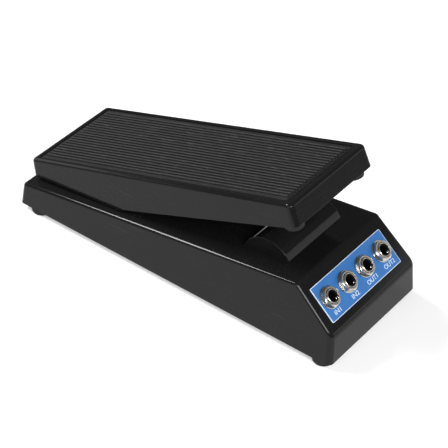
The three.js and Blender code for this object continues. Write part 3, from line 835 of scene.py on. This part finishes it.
def hinge_bracket():
    bracket = cube("hinge_frame", (-13, -EAR_OUTER, 0.1), (13, EAR_OUTER, 2.6))
    for side in (-1, 1):
        middle = side * (EAR_INNER + EAR_OUTER) / 2
        thick = (EAR_OUTER - EAR_INNER) / 2
        ear = cube("ear", (-13, middle - thick, 0.1), (13, middle + thick, 18))
        shoulders = [(lean * Vector((6.4, 0, lean * 14)) * MM, (lean * 14, 0, 6.6))
                     for lean in (-1, 1)]
        plane_down(ear, shoulders)
        round_edges(ear, lambda m, along, fold: abs(along.y) > 0.9 and m.z > 10 * MM, 2.6, 5)
        combine(bracket, ear, "UNION")
    for y in (-12, 12):
        combine(bracket, round_bar("hole", 1.7, (-1, 4), sides=28, at=(0, y)), "DIFFERENCE")
    bracket.data.transform(hinge_deck)
    combine(bracket, round_bar("bearing", 4.1, (-30, 30), pivot_axis, sides=48), "DIFFERENCE")
    round_edges(bracket, lambda m, along, fold: 1 < fold < 2.4 and abs(along.y) < 0.2, 0.25, 2)
    finish_shape(bracket)
    return bracket


fit_out(hinge_bracket(), "base", sheet_steel, ["hinge_bracket"])
fit_screws(2.8, 12, "base", {
    "hinge_screw_" + side: spot(0, y, 2.7, hinge_deck) for side, y in (("near", -12), ("far", 12))})


# Hinge bushes: flanged sleeves moulded in natural nylon, pressed into the bracket's ears from
# outside, so that the shaft turns on plastic and not on steel.
nylon = matt_moulding("natural_nylon", (0.78, 0.75, 0.66), 0.45)
bush_outline = [(3.1, 21.6), (3.8, 21.6), (4.0, 21.8), (4.0, 24.2), (5.4, 24.2), (5.6, 24.4),
                (5.6, 25.2), (5.4, 25.4), (3.3, 25.4), (3.1, 25.2), (3.1, 21.6)]
for side, turned in (("near", turn_over(pivot_axis)), ("far", pivot_axis)):
    bush = spun("bush_" + side, bush_outline, turned)
    finish_shape(bush, angle=35, weighted=False)
    fit_out(bush, "base", nylon, ["hinge_bush_" + side])


# Potentiometer: a two-gang rotary control in plated cans, held by its nut to a bent steel
# bracket under the hump. Its shaft turns with a nylon pinion that the treadle's sector drives.
PINION_X = 60.1
pot_axis = cross_axis(PINION_X, PIVOT.z / MM)
hump_deck = spot(HUMP_U, 0, 0, deck)


def refined(node, name, edge):
    """A merged copy of a plain node, with its sharp edges broken and its rounds shaded."""
    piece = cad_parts[node].copy()
    piece.data = piece.data.copy()
    piece.parent = None
    piece.name = piece.data.name = name
    bpy.context.scene.collection.objects.link(piece)
    edit(piece)
    bpy.ops.mesh.select_all(action="SELECT")
    bpy.ops.mesh.remove_doubles(threshold=5e-6)
    bpy.ops.mesh.dissolve_limited(angle_limit=math.radians(1))
    done()
    round_edges(piece, lambda m, along, fold: fold > 0.7, edge, 2)
    finish_shape(piece, angle=32)
    return piece


def pot_cans():
    cans = spun("pot_cans", [
        (3.1, 4.2), (3.3, 4.2), *threaded(3.5, 0.2, 0.7, 4.4, 8.0), (3.5, 8.4), (8.2, 8.4), (8.5, 8.7),
        (8.5, 15.1), (8.2, 15.4), (7.8, 15.4), (7.8, 16.4), (8.2, 16.4), (8.5, 16.7), (8.5, 23.1),
        (8.2, 23.4), (0, 23.4), (0, 8.2), (3.1, 8.2), (3.1, 4.2)], steps=56)
    cans.data.transform(pot_axis)
    tab_place = spot(PINION_X, 0, PIVOT.z / MM)
    tab = cube("tab", (-7, 8.4, -13), (7, 10, 0), tab_place)
    combine(cans, tab, "UNION")
    finish_shape(cans)
    return cans


bright_plate = plated_metal("bright_plate", base=(0.66, 0.67, 0.68), rough=0.20)
fit_out(pot_cans(), "base", bright_plate, ["pot_body"])
fit_out(refined("pot_nut", "pot_hex_nut", 0.3), "base", nickel, ["pot_nut"])
fit_out(refined("pot_bracket", "pot_frame", 0.2), "base", sheet_steel, ["pot_bracket"])
fit_screws(2.6, 7.6, "base", {
    "pot_screw_" + end: turn_over(spot(x, 14, -11.4, hump_deck))
    for end, x in (("heel", -24), ("toe", 24))})
fit_out(refined("pot_shaft", "pot_spindle", 0.2), "pot_rotor", bright_plate, ["pot_shaft"])
fit_out(refined("pinion", "drive_pinion", 0.1), "pot_rotor", nylon, ["pinion"])


# Treadle shell: one moulding in black ABS with a flat top, sunk for the tread mat, and flared
# skirts deepest over the hinge. Ribs, shaft saddles and bumper seats stand under its roof.
TREADLE_CORNER = Vector((-124.6, 0, 36.5)) * MM
TREADLE_SLOPE = math.radians(18.08)
TREADLE_HALF = 39.7
TREADLE_SPREAD = 0.007
TREADLE_FLARE = 0.05
TREADLE_TOP = ((-1.2, 0), (218.3, 0))
TREADLE_BOTTOM = ((-2.2, -12.8), (220.2, -15.6))
TREADLE_BEND = (70.65, -26.9)
TREADLE_WALL = 3
TREADLE_ROOF = -3.6
CAVITY_TOP = ((1.8, TREADLE_ROOF), (215.3, TREADLE_ROOF))
CAVITY_BOTTOM = ((-1.3, -45), (220.4, -45))
RECESS_HALF = 36
RECESS_ALONG = (3.5, 211.8)
RECESS_DEPTH = 1.6
RIDGE_ALONG = (212.8, 213.7)
BUMPERS = {
    "toe": {"at": (211.3, 32.8), "radius": 6.2, "tip": -21.7},
    "heel": {"at": (10, 28.5), "radius": 5.5, "tip": -17.3},
}
SADDLE_Y = 33.6
treadle = sloped(TREADLE_CORNER, TREADLE_SLOPE)
pivot_in_treadle = treadle.inverted() @ PIVOT / MM


def skirts(top, bottom, wall):
    """The treadle's faces: toe and heel ends and flared sides, moved inwards by a wall."""
    (heel_x, heel_z), (toe_x, toe_z) = top
    (low_heel_x, low_heel_z), (low_toe_x, low_toe_z) = bottom
    half = (TREADLE_HALF - wall) * MM
    return [
        (Vector((toe_x, 0, toe_z)) * MM, (toe_z - low_toe_z, 0, low_toe_x - toe_x)),
        (Vector((heel_x, 0, heel_z)) * MM, (low_heel_z - heel_z, 0, heel_x - low_heel_x)),
        (Vector((0, half, 0)), (-TREADLE_SPREAD, 1, TREADLE_FLARE)),
        (Vector((0, -half, 0)), (-TREADLE_SPREAD, -1, TREADLE_FLARE)),
    ]


def treadle_outside():
    """The outer form: corners and the top edge are rounded, the skirts' edges just broken."""
    shell = cube("treadle_top", (-8, -48, -40), (228, 48, 0))
    plane_down(shell, skirts(TREADLE_TOP, TREADLE_BOTTOM, 0))
    (heel_x, heel_z), (toe_x, toe_z) = TREADLE_BOTTOM
    x, z = TREADLE_BEND
    bend = Vector((x, 0, z)) * MM
    plane_down(shell, [(bend, (toe_z - z, 0, x - toe_x)), (bend, (z - heel_z, 0, heel_x - x))])
    round_edges(shell, lambda m, along, fold: upright(m, along, fold) and m.x > 0.1, 4, 7)
    round_edges(shell, lambda m, along, fold: upright(m, along, fold) and m.x < 0.1, 3, 6)
    round_edges(shell, lambda m, along, fold: fold > 1 and m.z > -MM, 2.3, 6)
    round_edges(shell, lambda m, along, fold: fold > 1 and m.z < -6 * MM, 0.5, 2)
    return shell


def treadle_shell():
    shell = treadle_outside()
    cavity = cube("cavity", (-8, -48, -60), (228, 48, TREADLE_ROOF))
    plane_down(cavity, skirts(CAVITY_TOP, CAVITY_BOTTOM, TREADLE_WALL))
    round_edges(cavity, upright, 1, 3)
    combine(shell, cavity, "DIFFERENCE")
    recess = cube("recess", (RECESS_ALONG[0], -RECESS_HALF, -RECESS_DEPTH),
                  (RECESS_ALONG[1], RECESS_HALF, 4))
    round_edges(recess, upright, 1.2, 4)
    combine(shell, recess, "DIFFERENCE")
    ridge = cube("ridge", (RIDGE_ALONG[0], -RECESS_HALF, -0.5),
                 (RIDGE_ALONG[1], RECESS_HALF, 0.45))
    round_edges(ridge, lambda m, along, fold: fold > 1 and m.z > 0.2 * MM, 0.3, 3)
    combine(shell, ridge, "UNION")
    px, pz = pivot_in_treadle.x, pivot_in_treadle.z
    for side in (-1, 1):
        rib = sorted((side * 18, side * 20))
        saddle = sorted((side * 29.4, side * 37.9))
        combine(shell, cube("rib", (18, rib[0], -7), (203, rib[1], -3.4)), "UNION")
        block = cube("saddle", (px - 11.5, saddle[0], pz), (px + 11.5, saddle[1], -3.4))
        combine(shell, block, "UNION")
        combine(shell, round_bar("post", 3.4, (-7.4, -3.4), sides=40, at=(167, side * 6)), "UNION")
        pilot = round_bar("pilot", 1.5, (-8, -3.6), sides=20, at=(167, side * 6))
        combine(shell, pilot, "DIFFERENCE")
        toe = BUMPERS["toe"]
        x, y = toe["at"]
        seat = round_bar("seat", toe["radius"] + 0.1, (toe["tip"], TREADLE_ROOF), sides=48,
                         at=(x, side * y))
        combine(shell, seat, "DIFFERENCE")
        for along in (-8, 8):
            pilot = round_bar("pilot", 1.5, (pz - 1, pz + 9), sides=20,
                              at=(px + along, side * SADDLE_Y))
            combine(shell, pilot, "DIFFERENCE")
    shell.data.transform(treadle)
    combine(shell, round_bar("room", 3.1, (-36.7, 36.7), pivot_axis, sides=40), "DIFFERENCE")
    finish_shape(shell)
    return shell


treadle_black = moulded_black("treadle_black", base=0.008, sheen=0.06, grain=0.014)
fit_out(treadle_shell(), "treadle", treadle_black, ["treadle_shell"])


# Tread mat: black ribbed rubber glued into the treadle's recess. Twenty-one ribs run its length
# and stop short of a plain groove at each end and side.
RIB_COUNT = 21
RIB_PITCH = 3.1
MAT_GAP = 0.1
MAT_FLOOR = MAT_GAP - RECESS_DEPTH
RIB_ENDS = (5.6, 210.4)


def tread_mat():
    heel, toe = RECESS_ALONG
    base = cube("ribbed_mat", (heel + MAT_GAP, MAT_GAP - RECESS_HALF, MAT_FLOOR),
                (toe - MAT_GAP, RECESS_HALF - MAT_GAP, MAT_FLOOR + 0.7))
    round_edges(base, upright, 1.1, 4)
    round_edges(base, lambda m, along, fold: fold > 1 and m.z > MAT_FLOOR * MM, 0.25, 2)
    edge = RIB_PITCH * (RIB_COUNT - 1) / 2
    rib = cube("rib", (RIB_ENDS[0], -edge - 1.05, MAT_FLOOR + 0.3),
               (RIB_ENDS[1], -edge + 1.05, MAT_FLOOR + 2))
    edit(rib)
    pick_faces(rib, lambda m, normal: normal.z > 0.9)
    bpy.ops.transform.resize(value=(0.992, 0.68, 1))
    done()
    round_edges(rib, lambda m, along, fold: fold > 0.7 and m.z > 0, 0.3, 3)
    rows = rib.modifiers.new("rows", "ARRAY")
    rows.count = RIB_COUNT
    rows.use_relative_offset = False
    rows.use_constant_offset = True
    rows.constant_offset_displace = (0, RIB_PITCH * MM, 0)
    clear_selection()
    bpy.context.view_layer.objects.active = rib
    rib.select_set(True)
    bpy.ops.object.modifier_apply(modifier=rows.name)
    combine(base, rib, "UNION")
    finish_shape(base, angle=40)
    base.data.transform(treadle)
    return base


def ribbed_rubber():
    """Matt tread rubber: worn in patches, with pale lengthwise scuffs and dust in a few places."""
    shader = Shader("tread_rubber")
    grain = shader.noise(0.0005, detail=3)
    worn = shader.noise(0.02, detail=4, roughness=0.65)
    scuff = shader.noise(0.0025, detail=2, stretch=(0.15, 1, 1))
    tone = shader.mix(worn, grey(0.009), grey(0.014))
    tone = shader.mix(shader.ramp(scuff, (0.60, 0), (0.74, 1)) * 0.35, tone, grey(0.07))
    shader.set(Base_Color=tone, Roughness=0.42 + worn * 0.12 + grain * 0.08, Specular_IOR_Level=0.4,
               Normal=shader.bump(grain, 0.4, 0.03 * MM))
    return shader


fit_out(tread_mat(), "treadle", ribbed_rubber(), ["tread_mat"])


# Bumpers: moulded rubber buttons with domed tips, seated under the treadle's four corners.
# They land on the deck at the two ends of the travel.
def bumper(name, radius, tip, place):
    dome = [(0, 0), (0.3, 0.08), (0.55, 0.3), (0.78, 0.75), (0.92, 1.3), (1, 2.1)]
    neck = [(1, -5.3), (0.94, -5.0), (0.94, -4.5), (1, -4.2), (1, -3.7), (0, -3.7)]
    outline = [(radius * share, tip + rise) for share, rise in dome]
    outline += [(radius * share, height) for share, height in neck]
    button = spun(name, outline, place)
    finish_shape(button, angle=40, weighted=False)
    return button


for end, sizes in BUMPERS.items():
    x, y = sizes["at"]
    for side, sign in (("near", -1), ("far", 1)):
        place = spot(x, sign * y, 0, treadle)
        button = bumper(f"{end}_button_{side}", sizes["radius"], sizes["tip"], place)
        fit_out(button, "treadle", rubber, [f"{end}_bumper_{side}"])


# Rocking shaft: a ground and plated 6 mm rod with chamfered ends and two grooves for the spring
# clips that keep it from sliding sideways.
def pivot_shaft():
    half = [(2.5, 25.8), (2.5, 26.8), (3, 26.8), (3, 36.1), (2.5, 36.6)]
    other = [(r, -z) for r, z in reversed(half)]
    outline = [(0, -36.6), *other, (3, -25.8), (3, 25.8), *half, (0, 36.6)]
    shaft = spun("rocking_shaft", outline, pivot_axis)
    finish_shape(shaft, weighted=False)
    return shaft


def shaft_clip():
    """A spring clip: a thin ring with an open mouth and rounded ends."""
    clip = spun("clip", [(2.6, 25.9), (4.9, 25.9), (5, 26), (5, 26.6), (4.9, 26.7), (2.6, 26.7),
                         (2.6, 25.9)], steps=56)
    combine(clip, cube("mouth", (-1.9, 0, 20), (1.9, 9, 30)), "DIFFERENCE")
    round_edges(clip, lambda m, along, fold: fold > 1 and abs(along.z) > 0.9, 0.4, 3)
    finish_shape(clip)
    return clip


fit_out(pivot_shaft(), "treadle", bright_plate, ["pivot_shaft"])
mouth_down = Matrix.Rotation(-TREADLE_SLOPE, 4, "Z")
clip_places = {
    "clip_far": pivot_axis @ mouth_down,
    "clip_near": pivot_axis @ mouth_down @ Matrix.Translation((0, 0, -52.6 * MM)),
}
for clip in copies(shaft_clip(), clip_places):
    fit_out(clip, "treadle", bright_plate, [clip.name.replace("clip", "shaft_clip")])


# Shaft straps: zinc-plated steel straps pressed to an arch over the shaft. Two screws each pull
# them against the saddles and clamp the shaft to the treadle.
def shaft_strap():
    strap = cube("strap", (-11.5, -3.5, -1.7), (11.5, 3.5, -0.2))
    round_edges(strap, upright, 1.4, 4)
    along = Matrix.Rotation(math.radians(-90), 4, "X")
    arch = round_bar("arch", 4.7, (-3.5, 3.5), along, sides=56)
    combine(arch, cube("upper", (-9, -9, -0.2), (9, 9, 9)), "DIFFERENCE")
    combine(strap, arch, "UNION")
    combine(strap, round_bar("room", 3.1, (-9, 9), along, sides=48), "DIFFERENCE")
    for x in (-8, 8):
        combine(strap, round_bar("hole", 1.7, (-3, 1), sides=28, at=(x, 0)), "DIFFERENCE")
    round_edges(strap, lambda m, a, fold: 1 < fold < 2.4 and abs(m.y) > 3.3 * MM, 0.2, 2)
    finish_shape(strap)
    return strap


saddle_spots = {side: spot(pivot_in_treadle.x, sign * SADDLE_Y, pivot_in_treadle.z, treadle)
                for side, sign in (("near", -1), ("far", 1))}
for strap in copies(shaft_strap(), {"strap_" + side: at for side, at in saddle_spots.items()}):
    fit_out(strap, "treadle", sheet_steel, ["shaft_" + strap.name])
fit_screws(2.5, 8, "treadle", {
    f"strap_screw_{side}_{end}": turn_over(spot(x, 0, -1.8, at))
    for side, at in saddle_spots.items() for end, x in (("heel", -8), ("toe", 8))})


# Sector arm: 3 mm plated steel, its rim cut with teeth centred on the shaft. A foot bolts it
# under the treadle's roof, and it reaches down through the hump to the pinion.
toothed_sector = refined("sector_arm", "toothed_sector", 0.12)
fit_out(toothed_sector, "treadle", sheet_steel, ["sector_arm"])
fit_screws(2.5, 6.4, "treadle", {
    "sector_screw_" + side: turn_over(spot(167, y, -9.6, treadle))
    for side, y in (("near", -6), ("far", 6))})
